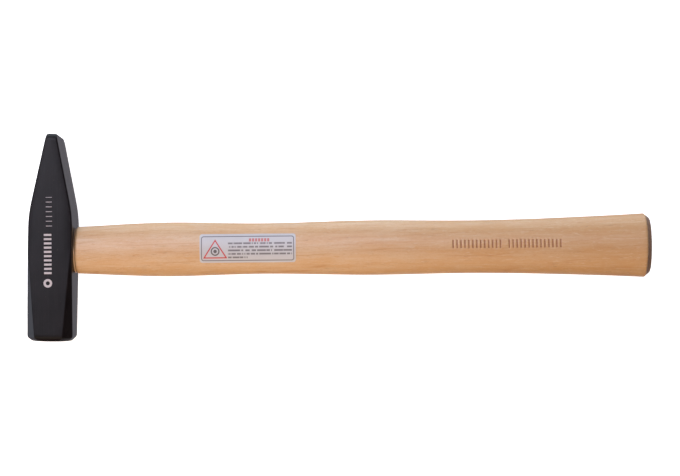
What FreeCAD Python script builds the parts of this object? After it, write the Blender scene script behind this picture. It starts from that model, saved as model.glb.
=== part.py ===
"""Cross-peen forge hammer with a hickory handle, 300 g class, lying flat on one cheek.

Row frame: +X runs along the handle from the eye to the butt, +Y along the head from the striking face
to the peen, +Z up. The origin is on the resting plane, under the centre of the eye. Lengths are in
millimetres and angles in degrees. The head and the wedges are drawn square in the head's own frame,
whose origin is the centre of the eye, and are then hung on the handle with a slight lean.
"""
import FreeCAD, Part
import math
import os
from FreeCAD import Placement, Rotation, Vector
from Sketcher import Constraint

# Driving dimensions: alias, value, what it is.
DIMENSIONS = [
    ("head_depth", 22.8, "head, cheek to cheek"),
    ("eye_width", 22.3, "head across the handle hole, along the handle"),
    ("poll_width", 23.1, "head across the flats at the striking face"),
    ("face_reach", 46.4, "eye centre to the crown of the striking face"),
    ("peen_reach", 59.0, "eye centre to the tip of the peen"),
    ("peen_width", 4.9, "peen tip, along the handle"),
    ("flank_start", 16.5, "eye centre to where the peen flanks leave the parallel sides"),
    ("flank_radius", 44.0, "curve between the parallel sides and the flanks"),
    ("chamfer_runout", 5.0, "eye centre to where the corner chamfers run out, towards the peen"),
    ("chamfer_leg", 4.9, "leg of the corner chamfers at the striking face"),
    ("chamfer_least", 0.1, "leg of the corner chamfers where they run out"),
    ("face_radius", 9.9, "radius of the crowned striking face"),
    ("face_crown", 0.4, "height of the crown"),
    ("bevel_slope", 38.0, "angle between the ground bevel and the face plane"),
    ("bevel_reach", 12.0, "how far out the bevel is ground, past the poll's corners"),
    ("peen_corner", 3.0, "rounding of the two ends of the peen edge"),
    ("forged_edge", 0.7, "rounding of the long forged edges and of the peen edge"),
    ("head_lean", 1.28, "the head hangs this far out of square, peen towards the butt"),
    ("eye_height", 20.0, "eye mouth, along the head"),
    ("eye_depth", 12.6, "eye mouth, cheek to cheek"),
    ("eye_waist", 0.94, "size of the eye at its middle, as a share of its mouth"),
    ("tenon_inset", 0.3, "how far the end of the tenon lies inside the head's outer side"),
    ("shoulder_start", 10.0, "eye centre to the first section of the shoulder, inside the eye mouth"),
    ("shoulder_inset", 1.1, "how much smaller that section is, all round"),
    ("tenon_root", 10.4, "eye centre to where the tenon runs into the shoulder"),
    ("butt_end", 305.0, "eye centre to the flat end of the butt"),
    ("butt_inset_edge", 2.7, "how far the butt's end face lies inside the grip, along the head"),
    ("butt_inset_flat", 3.6, "how far the butt's end face lies inside the grip, cheek to cheek"),
    ("kerf_width", 1.2, "saw cut in the tenon"),
    ("kerf_depth", 17.0, "depth of the saw cut from the end of the tenon"),
    ("wood_wedge_thick", 3.6, "wooden wedge at its head"),
    ("wood_wedge_length", 14.5, "wooden wedge, driven depth"),
    ("steel_wedge_width", 8.4, "steel wedges, cheek to cheek"),
    ("steel_wedge_thick", 1.9, "steel wedges at their head"),
    ("steel_wedge_tip", 0.5, "steel wedges at their tip"),
    ("steel_wedge_length", 12.0, "steel wedges, driven depth"),
    ("steel_wedge_pitch", 9.0, "distance between the two steel wedges"),
    ("label_start", 75.6, "eye centre to the near end of the label"),
    ("label_length", 48.6, "label along the handle"),
    ("label_height", 14.5, "label across the handle, seen square on"),
    ("label_corner", 1.2, "corner radius of the label"),
    ("label_thick", 0.18, "thickness of the label"),
    ("slack", 1.0, "how far cutting shapes reach past the surface that they cut"),
]

# Oval sections of the grip: distance from the eye centre, height along the head, and thickness from
# cheek to cheek. The butt is as thick as the head is deep, so the hammer lies level.
GRIP_STATIONS = [
    (12.2, 23.8, 15.6),
    (30.0, 25.6, 17.6),
    (58.0, 27.6, 19.4),
    (80.0, 27.0, 19.0),
    (103.0, 26.0, 18.4),
    (135.0, 26.9, 19.0),
    (167.0, 28.0, 19.8),
    (187.0, 27.5, 19.5),
    (205.0, 27.1, 19.3),
    (235.0, 27.6, 19.7),
    (262.0, 29.2, 20.7),
    (285.0, 31.0, 21.8),
    (302.5, 32.7, 22.8),
]
LAST = len(GRIP_STATIONS) - 1

# Where a shape's own X, Y and Z axes are turned to: grip sections, and the two kinds of wedge.
OVAL_ACROSS_HANDLE = Rotation(Vector(0, 1, 0), Vector(0, 0, 1), Vector(1, 0, 0), "ZXY")
WEDGE_IN_KERF = Rotation(Vector(0, 0, 1), Vector(1, 0, 0), Vector(0, 1, 0), "ZXY")
WEDGE_ACROSS_KERF = Rotation(Vector(0, 1, 0), Vector(1, 0, 0), Vector(0, 0, -1), "ZXY")


# Sheet and expressions ----------------------------------------------------------------------------

def make_sheet(doc):
    """The spreadsheet that drives every size."""
    sheet = doc.addObject("Spreadsheet::Sheet", "Dimensions")
    rows = list(DIMENSIONS)
    for number, (place, height, thick) in enumerate(GRIP_STATIONS):
        rows.append((f"grip_place_{number}", place, f"grip section {number}, from the eye centre"))
        rows.append((f"grip_height_{number}", height, f"grip section {number}, height"))
        rows.append((f"grip_thick_{number}", thick, f"grip section {number}, thickness"))
    for row, (alias, value, note) in enumerate(rows, start=1):
        sheet.set(f"A{row}", alias)
        sheet.set(f"B{row}", str(value))
        sheet.set(f"C{row}", note)
        sheet.setAlias(f"B{row}", alias)
    doc.recompute()
    return sheet


def bind(obj, sizes):
    """Ties properties of obj to expressions in which $name is a cell of the spreadsheet."""
    for name, expression in sizes.items():
        obj.setExpression(name, expression.replace("$", "Dimensions."))


# Sketch helpers -----------------------------------------------------------------------------------

def origin_plane(body, role):
    return next(feature for feature in body.Origin.OriginFeatures if feature.Role == role)


def new_sketch(body, name, role, offset=None):
    """A sketch on one of the body's origin planes, moved along that plane's normal by offset."""
    sketch = body.newObject("Sketcher::SketchObject", name)
    sketch.AttachmentSupport = [(origin_plane(body, role), "")]
    sketch.MapMode = "FlatFace"
    if offset:
        bind(sketch, {"AttachmentOffset.Base.z": offset})
    return sketch


def size_from_origin(sketch, kind, edge, end, expression):
    """Sizes one coordinate of an edge's end (1 start, 2 end, 3 centre) measured from the origin."""
    point = sketch.getPoint(edge, end)
    value = point.x if kind == "DistanceX" else point.y
    index = sketch.addConstraint(Constraint(kind, -1, 1, edge, end, value))
    bind(sketch, {f"Constraints[{index}]": expression})


def draw_polygon(sketch, corners):
    """A closed polygon; each corner is two numbers to draw it near and two expressions that size it."""
    points = [Vector(x, y, 0) for x, y, across, up in corners]
    count = len(points)
    for index in range(count):
        sketch.addGeometry(Part.LineSegment(points[index], points[(index + 1) % count]), False)
    for index in range(count):
        sketch.addConstraint(Constraint("Coincident", index, 2, (index + 1) % count, 1))
    for index, (x, y, across, up) in enumerate(corners):
        size_from_origin(sketch, "DistanceX", index, 1, across)
        size_from_origin(sketch, "DistanceY", index, 1, up)


def draw_oval(sketch, long_axis, short_axis):
    """An ellipse round the sketch's origin with its long axis along the sketch's X."""
    sketch.addGeometry(Part.Ellipse(Vector(2, 0, 0), Vector(0, 1, 0), Vector(0, 0, 0)), False)
    sketch.exposeInternalGeometry(0)
    sketch.addConstraint(Constraint("Coincident", 0, 3, -1, 1))
    sketch.addConstraint(Constraint("Horizontal", 1))
    for line, length, expression in ((1, 4.0, long_axis), (2, 2.0, short_axis)):
        index = sketch.addConstraint(Constraint("Distance", line, length))
        bind(sketch, {f"Constraints[{index}]": expression})


# Head ---------------------------------------------------------------------------------------------

def pad_head_outline(body):
    """The head as seen from above a cheek: flared poll, parallel sides at the eye and a wedge peen."""
    sketch = new_sketch(body, "HeadOutline", "XY_Plane")
    right = [
        (11.5, -46.0, "$poll_width / 2", "-$face_reach - $slack"),
        (11.1, 0.0, "$eye_width / 2", "0"),
        (11.1, 16.5, "$eye_width / 2", "$flank_start"),
        (2.4, 59.0, "$peen_width / 2", "$peen_reach"),
    ]
    left = [(-x, y, f"-({across})", up) for x, y, across, up in reversed(right)]
    draw_polygon(sketch, right + left)
    pad = body.newObject("PartDesign::Pad", "HeadPad")
    pad.Profile = sketch
    pad.Midplane = True
    bind(pad, {"Length": "$head_depth"})
    return pad


def round_edges(body, name, base, radius, wanted):
    """Rounds the edges of base whose middle point passes the test."""
    names = []
    for number, edge in enumerate(base.Shape.Edges, start=1):
        middle = edge.valueAt((edge.FirstParameter + edge.LastParameter) / 2)
        if wanted(middle, edge):
            names.append(f"Edge{number}")
    fillet = body.newObject("PartDesign::Fillet", name)
    fillet.Base = (base, names)
    bind(fillet, {"Radius": radius})
    body.Document.recompute()
    return fillet


def round_head(body, pad, sheet):
    """Rounds the bends of the flanks, the two ends of the peen edge, then the outline of each cheek."""
    half_depth = sheet.head_depth / 2
    flanks = round_edges(
        body, "FlankBends", pad, "$flank_radius",
        lambda middle, edge: abs(middle.z) < 0.1 and abs(middle.y - sheet.flank_start) < 0.1)
    tip = round_edges(
        body, "PeenEnds", flanks, "$peen_corner",
        lambda middle, edge: abs(middle.x) < 0.1 and abs(middle.y - sheet.peen_reach) < 0.1)
    return round_edges(
        body, "ForgedEdges", tip, "$forged_edge",
        lambda middle, edge: middle.y > -sheet.face_reach and (
            abs(abs(middle.z) - half_depth) < 0.01 or middle.y > sheet.peen_reach - sheet.peen_corner))


def cut_poll_chamfers(body):
    """Flat corner chamfers that widen from nothing beside the eye to the striking face."""
    stations = (
        ("ChamferRunout", "-$chamfer_runout", "$eye_width / 2", "$chamfer_least"),
        ("ChamferFace", "$face_reach + $slack", "$poll_width / 2", "$chamfer_leg"),
    )
    sketches = []
    for name, offset, half_width, leg in stations:
        sketch = new_sketch(body, name, "XZ_Plane", offset)
        outer_x = f"{half_width} + $slack"
        outer_z = "$head_depth / 2 + $slack"
        inner_x = f"{half_width} - {leg} - $slack"
        inner_z = f"$head_depth / 2 - {leg} - $slack"
        draw_polygon(sketch, [
            (12.0, 12.0, outer_x, outer_z),
            (6.0, 12.0, inner_x, outer_z),
            (12.0, 6.0, outer_x, inner_z),
        ])
        sketches.append(sketch)
    chamfer = body.newObject("PartDesign::SubtractiveLoft", "PollChamfer")
    chamfer.Profile = sketches[0]
    chamfer.Sections = [sketches[1]]
    chamfer.Ruled = True

    pattern = body.newObject("PartDesign::MultiTransform", "FourChamfers")
    pattern.Originals = [chamfer]
    mirrors = []
    for name, role in (("MirrorAcross", "YZ_Plane"), ("MirrorUp", "XY_Plane")):
        mirror = body.Document.addObject("PartDesign::Mirrored", name)
        mirror.MirrorPlane = (origin_plane(body, role), [""])
        body.addObject(mirror)
        mirrors.append(mirror)
    pattern.Transformations = mirrors
    body.Tip = pattern


def turn_striking_face(body, sheet):
    """Grinds the end of the poll into a crowned round face with a bevel round it."""
    sketch = new_sketch(body, "FaceGrinding", "XY_Plane")
    radius, crown, reach = sheet.face_radius, sheet.face_crown, sheet.face_reach
    dome = (radius ** 2 + crown ** 2) / (2 * crown)
    outer = radius + sheet.bevel_reach
    low = -reach - 2 * sheet.slack
    rise = sheet.bevel_reach * math.tan(math.radians(sheet.bevel_slope))
    corners = [
        Vector(0, low, 0),
        Vector(outer, low, 0),
        Vector(outer, -reach + crown + rise, 0),
        Vector(radius, -reach + crown, 0),
        Vector(0, -reach, 0),
    ]
    for start, end in zip(corners[:3], corners[1:4]):
        sketch.addGeometry(Part.LineSegment(start, end), False)
    half = Vector(radius / 2, dome - (dome ** 2 - radius ** 2 / 4) ** 0.5 - reach, 0)
    sketch.addGeometry(Part.Arc(corners[4], half, corners[3]), False)
    sketch.addGeometry(Part.LineSegment(corners[4], corners[0]), False)
    for first, first_end, second, second_end in (
            (0, 2, 1, 1), (1, 2, 2, 1), (2, 2, 3, 2), (3, 1, 4, 1), (4, 2, 0, 1)):
        sketch.addConstraint(Constraint("Coincident", first, first_end, second, second_end))
    sizes = (
        ("DistanceX", 0, 1, "0"),
        ("DistanceY", 0, 1, "-$face_reach - 2 * $slack"),
        ("DistanceX", 0, 2, "$face_radius + $bevel_reach"),
        ("DistanceY", 0, 2, "-$face_reach - 2 * $slack"),
        ("DistanceX", 1, 2, "$face_radius + $bevel_reach"),
        ("DistanceY", 1, 2, "-$face_reach + $face_crown + $bevel_reach * tan($bevel_slope * 1deg)"),
        ("DistanceX", 2, 2, "$face_radius"),
        ("DistanceY", 2, 2, "-$face_reach + $face_crown"),
        ("DistanceX", 3, 1, "0"),
        ("DistanceY", 3, 1, "-$face_reach"),
        ("DistanceX", 3, 3, "0"),
    )
    for kind, edge, end, expression in sizes:
        size_from_origin(sketch, kind, edge, end, expression)
    groove = body.newObject("PartDesign::Groove", "StrikingFace")
    groove.Profile = sketch
    groove.ReferenceAxis = (sketch, ["V_Axis"])
    groove.Angle = 360


def pierce_eye(body):
    """The oval hole for the handle, a little smaller in the middle than at its two mouths."""
    stations = (
        ("EyeOuterMouth", "-$eye_width / 2 - $slack", "1"),
        ("EyeWaist", "0", "$eye_waist"),
        ("EyeInnerMouth", "$eye_width / 2 + $slack", "1"),
    )
    sketches = []
    for name, offset, share in stations:
        sketch = new_sketch(body, name, "YZ_Plane", offset)
        draw_oval(sketch, f"$eye_height * {share}", f"$eye_depth * {share}")
        sketches.append(sketch)
    eye = body.newObject("PartDesign::SubtractiveLoft", "Eye")
    eye.Profile = sketches[0]
    eye.Sections = sketches[1:]


def make_head(doc, sheet, hang):
    body = doc.addObject("PartDesign::Body", "hammer_head")
    pad = pad_head_outline(body)
    doc.recompute()
    round_head(body, pad, sheet)
    cut_poll_chamfers(body)
    doc.recompute()
    turn_striking_face(body, sheet)
    doc.recompute()
    pierce_eye(body)
    doc.recompute()
    body.Placement = hang
    return body


# Handle -------------------------------------------------------------------------------------------

def oval_section(doc, name, place, height, thick):
    """One oval across the handle, given by expressions for its place and its two sizes."""
    oval = doc.addObject("Part::Ellipse", name)
    oval.Placement = Placement(Vector(0, 0, 0), OVAL_ACROSS_HANDLE)
    bind(oval, {
        "MajorRadius": f"({height}) / 2",
        "MinorRadius": f"({thick}) / 2",
        "Placement.Base.x": place,
        "Placement.Base.z": "$head_depth / 2",
    })
    return oval


def loft(doc, name, sections, ruled):
    body = doc.addObject("Part::Loft", name)
    body.Sections = sections
    body.Solid = True
    body.Ruled = ruled
    return body


def grip_loft(doc, name, growth):
    """The grip through all of its stations, made larger all round by growth."""
    sections = []
    for number in range(len(GRIP_STATIONS)):
        sections.append(oval_section(
            doc, f"{name}Oval{number}", f"$grip_place_{number}",
            f"$grip_height_{number} + 2 * {growth}", f"$grip_thick_{number} + 2 * {growth}"))
    return loft(doc, name, sections, False), sections


def boolean(doc, kind, name, base, tool):
    result = doc.addObject(kind, name)
    result.Base = base
    result.Tool = tool
    return result


def fuse(doc, name, shapes):
    result = doc.addObject("Part::MultiFuse", name)
    result.Shapes = shapes
    return result


def block(doc, name, placement, sizes):
    """A box whose sizes are bound to expressions and whose lowest corner is at placement."""
    box = doc.addObject("Part::Box", name)
    box.Placement = placement
    bind(box, sizes)
    return box


def wedge(doc, name, placement, width, thick, tip, length):
    """A wedge driven along its own Y: thick along its own X at the head and thin at the tip."""
    shape = doc.addObject("Part::Wedge", name)
    shape.Placement = placement
    bind(shape, {
        "Xmin": f"-{thick} / 2",
        "Xmax": f"{thick} / 2",
        "X2min": f"-{tip} / 2",
        "X2max": f"{tip} / 2",
        "Ymin": "0",
        "Ymax": length,
        "Zmin": f"-{width} / 2",
        "Zmax": f"{width} / 2",
        "Z2min": f"-{width} / 2",
        "Z2max": f"{width} / 2",
    })
    return shape


def make_handle_blank(doc, sheet, hang, grip, grip_ends):
    """Grip, shoulder, rounded-off butt and a block for the tenon, before anything is cut away."""
    shoulder_tip = oval_section(
        doc, "ShoulderTip", "$shoulder_start",
        "$grip_height_0 - 2 * $shoulder_inset", "$grip_thick_0 - 2 * $shoulder_inset")
    butt_face = oval_section(
        doc, "ButtFace", "$butt_end",
        f"$grip_height_{LAST} - 2 * $butt_inset_edge", f"$grip_thick_{LAST} - 2 * $butt_inset_flat")
    shoulder = loft(doc, "Shoulder", [shoulder_tip, grip_ends[0]], True)
    butt = loft(doc, "Butt", [grip_ends[1], butt_face], True)
    corner = Vector(-sheet.eye_width / 2 + sheet.tenon_inset,
                    -sheet.eye_height / 2 - sheet.slack,
                    -sheet.eye_depth / 2 - sheet.slack)
    tenon = block(doc, "TenonBlock", hang * Placement(corner, Rotation()), {
        "Length": "$tenon_root + $eye_width / 2 - $tenon_inset",
        "Width": "$eye_height + 2 * $slack",
        "Height": "$eye_depth + 2 * $slack",
    })
    return fuse(doc, "HandleBlank", [tenon, shoulder, grip, butt])


def make_wedges(doc, sheet, hang, head):
    """The wooden wedge in the saw cut and the two steel wedges driven across it."""
    driven_end = -sheet.eye_width / 2 + sheet.tenon_inset
    steel = []
    for number, side in enumerate((-1, 1), start=1):
        placement = hang * Placement(
            Vector(driven_end, side * sheet.steel_wedge_pitch / 2, 0), WEDGE_ACROSS_KERF)
        steel.append(wedge(doc, f"steel_wedge_{number}", placement, "$steel_wedge_width",
                           "$steel_wedge_thick", "$steel_wedge_tip", "$steel_wedge_length"))
    blank = wedge(doc, "WoodWedgeBlank", hang * Placement(Vector(driven_end, 0, 0), WEDGE_IN_KERF),
                  "($eye_height + 2 * $slack)", "$wood_wedge_thick", "$kerf_width",
                  "$wood_wedge_length")
    in_eye = boolean(doc, "Part::Cut", "WoodWedgeInEye", blank, head)
    wood = boolean(doc, "Part::Cut", "wood_wedge", in_eye, fuse(doc, "SteelInWood", steel))
    return wood, steel, blank


def make_handle(doc, sheet, hang, head, blank, wedge_shapes):
    """Cuts the tenon to the eye, then the saw cut and the room that the wedges take up."""
    fitted = boolean(doc, "Part::Cut", "HandleInEye", blank, head)
    reach = sheet.eye_height / 2 + sheet.slack
    corner = Vector(-sheet.eye_width / 2 - sheet.slack, -reach, -sheet.kerf_width / 2)
    kerf = block(doc, "Kerf", hang * Placement(corner, Rotation()), {
        "Length": "$kerf_depth + $slack",
        "Width": "$eye_height + 2 * $slack",
        "Height": "$kerf_width",
    })
    return boolean(doc, "Part::Cut", "handle", fitted, fuse(doc, "WedgeRoom", [kerf] + wedge_shapes))


def make_label(doc, sheet, grip):
    """A thin label bent over the upper side of the grip: a rounded oblong when seen square on."""
    skin, ends = grip_loft(doc, "LabelSkin", "$label_thick")
    base = block(doc, "LabelOblong", Placement(), {
        "Length": "$label_length",
        "Width": "$label_height",
        "Height": "$head_depth",
        "Placement.Base.x": "$label_start",
        "Placement.Base.y": "-$label_height / 2",
        "Placement.Base.z": "$head_depth / 2 + 3",
    })
    doc.recompute()
    outline = doc.addObject("Part::Fillet", "LabelOutline")
    outline.Base = base
    upright = [number for number, edge in enumerate(base.Shape.Edges, start=1)
               if edge.tangentAt(edge.FirstParameter).z ** 2 > 0.9]
    outline.Edges = [(number, sheet.label_corner, sheet.label_corner) for number in upright]
    patch = boolean(doc, "Part::Common", "LabelPatch", skin, outline)
    return boolean(doc, "Part::Cut", "label", patch, grip)


# Whole part ---------------------------------------------------------------------------------------

def check_shapes(doc, pieces):
    """Stops with a message if any object failed, any shape is broken or a piece isn't one solid."""
    for obj in doc.Objects:
        if {"Invalid", "Error"} & set(obj.State):
            raise RuntimeError(f"{obj.Label} did not compute: {obj.State}")
        is_mirror_setting = obj.TypeId == "PartDesign::Mirrored"
        if obj.isDerivedFrom("Part::Feature") and not is_mirror_setting:
            if obj.Shape.isNull() or not obj.Shape.isValid():
                raise RuntimeError(f"{obj.Label} has no sound shape")
    for piece in pieces:
        if len(piece.Shape.Solids) != 1:
            raise RuntimeError(f"{piece.Label} has {len(piece.Shape.Solids)} solids")


def main():
    doc = FreeCAD.newDocument("ForgeHammer")
    sheet = make_sheet(doc)
    hang = Placement(Vector(0, 0, sheet.head_depth / 2), Rotation(Vector(0, 0, 1), -sheet.head_lean))
    head = make_head(doc, sheet, hang)
    grip, ovals = grip_loft(doc, "Grip", "0")
    blank = make_handle_blank(doc, sheet, hang, grip, (ovals[0], ovals[-1]))
    wood, steel, wood_blank = make_wedges(doc, sheet, hang, head)
    handle = make_handle(doc, sheet, hang, head, blank, [wood_blank] + steel)
    label = make_label(doc, sheet, grip)
    doc.recompute()
    pieces = [head, handle, wood] + steel + [label]
    for piece in pieces:
        piece.Label = piece.Name
    check_shapes(doc, pieces)

    os.makedirs("parts", exist_ok=True)
    for piece in pieces:
        piece.Shape.exportStep(f"parts/{piece.Label}.step")
        print(f"{piece.Label}: {piece.Shape.Volume:.1f} mm3, {len(piece.Shape.Faces)} faces")


main()
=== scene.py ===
"""Looks of the cross-peen forge hammer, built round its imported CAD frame.

The frame has +X along the handle from the eye to the butt, +Y along the head from the striking face to
the peen, and +Z up. Shapes are worked out here in millimetres and scaled to metres when a mesh is made.
"""

import math

import bpy
import numpy as np
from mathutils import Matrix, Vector, noise


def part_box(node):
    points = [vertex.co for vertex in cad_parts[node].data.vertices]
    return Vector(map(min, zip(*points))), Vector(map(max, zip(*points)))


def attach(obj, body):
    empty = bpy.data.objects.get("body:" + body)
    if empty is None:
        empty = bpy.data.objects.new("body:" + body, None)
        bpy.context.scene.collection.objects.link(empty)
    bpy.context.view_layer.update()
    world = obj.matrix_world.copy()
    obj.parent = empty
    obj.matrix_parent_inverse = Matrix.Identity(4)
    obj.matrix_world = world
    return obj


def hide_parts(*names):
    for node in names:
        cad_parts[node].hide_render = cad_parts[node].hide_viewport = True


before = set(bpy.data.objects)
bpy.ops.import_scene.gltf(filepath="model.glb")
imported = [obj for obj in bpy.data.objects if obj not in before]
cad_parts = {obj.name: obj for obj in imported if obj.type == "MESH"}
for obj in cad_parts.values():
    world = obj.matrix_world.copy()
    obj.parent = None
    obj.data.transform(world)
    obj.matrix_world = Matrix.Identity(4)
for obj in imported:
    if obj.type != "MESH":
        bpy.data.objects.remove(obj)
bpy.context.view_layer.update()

MM = 0.001

# Levels taken from the frame, in millimetres.
head_low, head_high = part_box("hammer_head")
DEPTH = (head_high.z - head_low.z) / MM
MID = DEPTH / 2
BUTT_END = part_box("handle")[1].x / MM

# Head, with places along it measured from the eye's centre: half widths at the eye, the striking end and
# the peen, the length over which it widens to the striking end, its two ends, and the peen's flanks.
EYE_HALF = 11.15
FACE_HALF = 11.55
FACE_TAPER = 47.2
PEEN_HALF = 2.45
FACE_END = -46.4
PEEN_END = 59.55
FLANK_START = 17.8
FLANK_RADIUS = 70.0

# Head: the chamfers that grow from their run-out to the striking end, and the rounding of edges and peen.
# The peen's end slants back by PEEN_SLANT from the upper cheek to the lower one, beginning at SLANT_START.
CHAMFER_RUNOUT = 5.0
CHAMFER_PER_MM = 4.8 / 52.4
EDGE_ROUND = 0.7
PEEN_CORNER = 3.7
PEEN_SLANT = 1.85
SLANT_START = 34.0

# Head: the striking face's radius, how fast it spreads away from the end, and its crown. The ground bevel
# is pairs of distance from the end and inset. Each millimetre of inset shortens a chamfer's leg by LEG_SHARE.
FACE_DISC = 10.3
DISC_SPREAD = 1.7
FACE_CROWN = 0.4
BEVEL_INSET = ((0.0, 1.5), (0.5, 1.12), (1.0, 0.76), (1.4, 0.48), (1.8, 0.24), (2.2, 0.1), (2.8, 0.03),
               (3.3, 0.0))
LEG_SHARE = 0.586

# Head: the cheeks' slight crown, their roll-off near the edges and the places between which it grows, the
# head's lean, the eye's half sizes, waist and lip, and how far in the tenon ends.
CHEEK_CROWN = 0.16
ROLL = 0.42
ROLL_REACH = 4.2
ROLL_GROWTH = (-12.0, 12.0)
LEAN = math.radians(-1.28)
EYE_LONG = 10.0
EYE_SHORT = 6.3
EYE_WAIST = 0.94
EYE_LIP = 0.45
TENON_SUNK = 0.45

# Print on the head's upper cheek: ticks, bars and a ring. Areas are x from and to, then y from and to.
TICK_AREA = (-1.6, 1.5, 11.3, 27.0)
TICK_START = 12.4
TICK_PITCH = 2.42
TICK_WIDTH = 0.42
BAR_AREA = (-2.7, 1.1, -12.2, 9.3)
BAR_START = -11.35
BAR_PITCH = 2.14
BAR_WIDTH = 1.02
RING_CENTRE = (-0.9, -16.5)
RING_OUTER = 2.25
RING_INNER = 0.95

# Grip: distance from the eye, height along the head and thickness from cheek to cheek.
GRIP = np.array([
    (12.2, 23.8, 15.6),
    (30.0, 25.6, 17.6),
    (58.0, 27.6, 19.4),
    (80.0, 27.0, 19.0),
    (103.0, 26.0, 18.4),
    (135.0, 26.9, 19.0),
    (167.0, 28.0, 19.8),
    (187.0, 27.5, 19.5),
    (205.0, 27.1, 19.3),
    (235.0, 27.6, 19.7),
    (262.0, 29.2, 20.7),
    (285.0, 31.0, 21.8),
    (302.5, 32.7, 22.8),
])

# Butt: where its chamfer starts, and how far it draws in along the head and from cheek to cheek.
BUTT_START = 302.5
BUTT_INSET = (2.7, 3.6)

# Label on the grip: its centre and half sizes, its corners, and how its film lies on the wood.
LABEL_CENTRE = 99.95
LABEL_UP = 0.3
LABEL_HALF_LONG = 24.3
LABEL_HALF_HIGH = 7.25
LABEL_CORNER = 1.3
LABEL_FILM = 0.16
LABEL_SUNK = 0.05
LABEL_LIFT = 0.07
LIFT_REACH = 2.0

# Print on the label: border, broken rows of dashes, heading blocks, triangle with a ring and a dot.
BORDER_AREA = (76.4, 123.5, -6.1, 6.5)
BORDER_CORNER = 1.3
DASH_AREA = (90.0, 122.4, -4.95, 3.4)
DASH_START = -4.32
DASH_PITCH = 1.78
DASH_HEIGHT = 0.88
DASH_CELL = 0.54
LAST_ROW_END = 99.9
HEADING_AREA = (100.5, 111.1, 3.65, 5.25)
HEADING_START = 101.2
HEADING_PITCH = 1.53
HEADING_WIDTH = 1.12
TRIANGLE_APEX = (83.5, 4.9)
TRIANGLE_BASE = -4.8
TRIANGLE_HALF_BASE = 6.2
EMBLEM_Y = -1.2
EMBLEM_OUTER = 2.3
EMBLEM_INNER = 1.55
EMBLEM_DOT = 0.95

# Burnt ticks near the butt: where each row starts and how many ticks it has, then their sizes.
BURN_ROWS = ((204.0, 13), (232.4, 14))
BURN_PITCH = 2.0
BURN_WIDTH = 0.8
BURN_HALF = 2.1
BURN_CENTRE = 1.45
BURN_DEPTH = 0.1


# Curves -------------------------------------------------------------------------------------------

def natural_spline(places, values):
    """A smooth curve through the points, as a function of arrays."""
    count = len(places)
    step = np.diff(places)
    matrix = np.zeros((count, count))
    right = np.zeros(count)
    matrix[0, 0] = matrix[-1, -1] = 1.0
    for i in range(1, count - 1):
        matrix[i, i - 1] = step[i - 1]
        matrix[i, i] = 2 * (step[i - 1] + step[i])
        matrix[i, i + 1] = step[i]
        right[i] = 3 * ((values[i + 1] - values[i]) / step[i] - (values[i] - values[i - 1]) / step[i - 1])
    bend = np.linalg.solve(matrix, right)

    def curve(x):
        x = np.asarray(x, float)
        i = np.clip(np.searchsorted(places, x) - 1, 0, count - 2)
        t = x - places[i]
        slope = (values[i + 1] - values[i]) / step[i] - step[i] * (2 * bend[i] + bend[i + 1]) / 3
        return values[i] + slope * t + bend[i] * t ** 2 + (bend[i + 1] - bend[i]) / (3 * step[i]) * t ** 3
    return curve


grip_height = natural_spline(GRIP[:, 0], GRIP[:, 1])
grip_thick = natural_spline(GRIP[:, 0], GRIP[:, 2])


def smooth_step(low, high, value):
    t = min(max((value - low) / (high - low), 0.0), 1.0)
    return t * t * (3 - 2 * t)


def soft_min(a, b, blend):
    """The smaller of a and b, with the corner between them rounded over about blend."""
    h = max(blend - abs(a - b), 0.0) / blend
    return min(a, b) - h * h * blend / 4


def wander(x, y, z, size, seed):
    """Smooth noise between about -1 and 1 whose lumps are size millimetres across."""
    return noise.noise(Vector((x / size + seed, y / size - seed, z / size + 2 * seed)))


# Meshes -------------------------------------------------------------------------------------------

def make_mesh(name, vertices, faces, sharp=35):
    """A smooth-shaded object from vertices in millimetres."""
    mesh = bpy.data.meshes.new(name)
    mesh.from_pydata([(x * MM, y * MM, z * MM) for x, y, z in vertices], [], faces)
    mesh.validate()
    mesh.shade_smooth()
    mesh.set_sharp_from_angle(angle=math.radians(sharp))
    obj = bpy.data.objects.new(name, mesh)
    bpy.context.scene.collection.objects.link(obj)
    return obj


def ring_skin(rings):
    """Faces between rings of equal length, with a fan at each end."""
    count = len(rings[0])
    vertices = [point for ring in rings for point in ring]
    faces = []
    for r in range(len(rings) - 1):
        for i in range(count):
            j = (i + 1) % count
            faces.append((r * count + i, r * count + j, (r + 1) * count + j, (r + 1) * count + i))
    for first, flip in ((0, True), ((len(rings) - 1) * count, False)):
        centre = np.mean(np.array(vertices[first:first + count]), axis=0)
        vertices.append(tuple(centre))
        hub = len(vertices) - 1
        for i in range(count):
            a, b = first + i, first + (i + 1) % count
            faces.append((b, a, hub) if flip else (a, b, hub))
    return vertices, faces


def apply_modifiers(obj):
    """Turns the modifiers into plain mesh."""
    graph = bpy.context.evaluated_depsgraph_get()
    mesh = bpy.data.meshes.new_from_object(obj.evaluated_get(graph))
    obj.modifiers.clear()
    obj.data = mesh


def weigh_normals(obj):
    """Keeps flats flat right up to their rounded edges."""
    modifier = obj.modifiers.new("Normals", "WEIGHTED_NORMAL")
    modifier.weight = 100
    modifier.keep_sharp = True
    apply_modifiers(obj)


def from_head(x, y, z):
    """Head coordinates to the frame: the head leans and its middle plane is at half its depth."""
    return (x * math.cos(LEAN) - y * math.sin(LEAN), x * math.sin(LEAN) + y * math.cos(LEAN), z + MID)


# Head ---------------------------------------------------------------------------------------------

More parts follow.
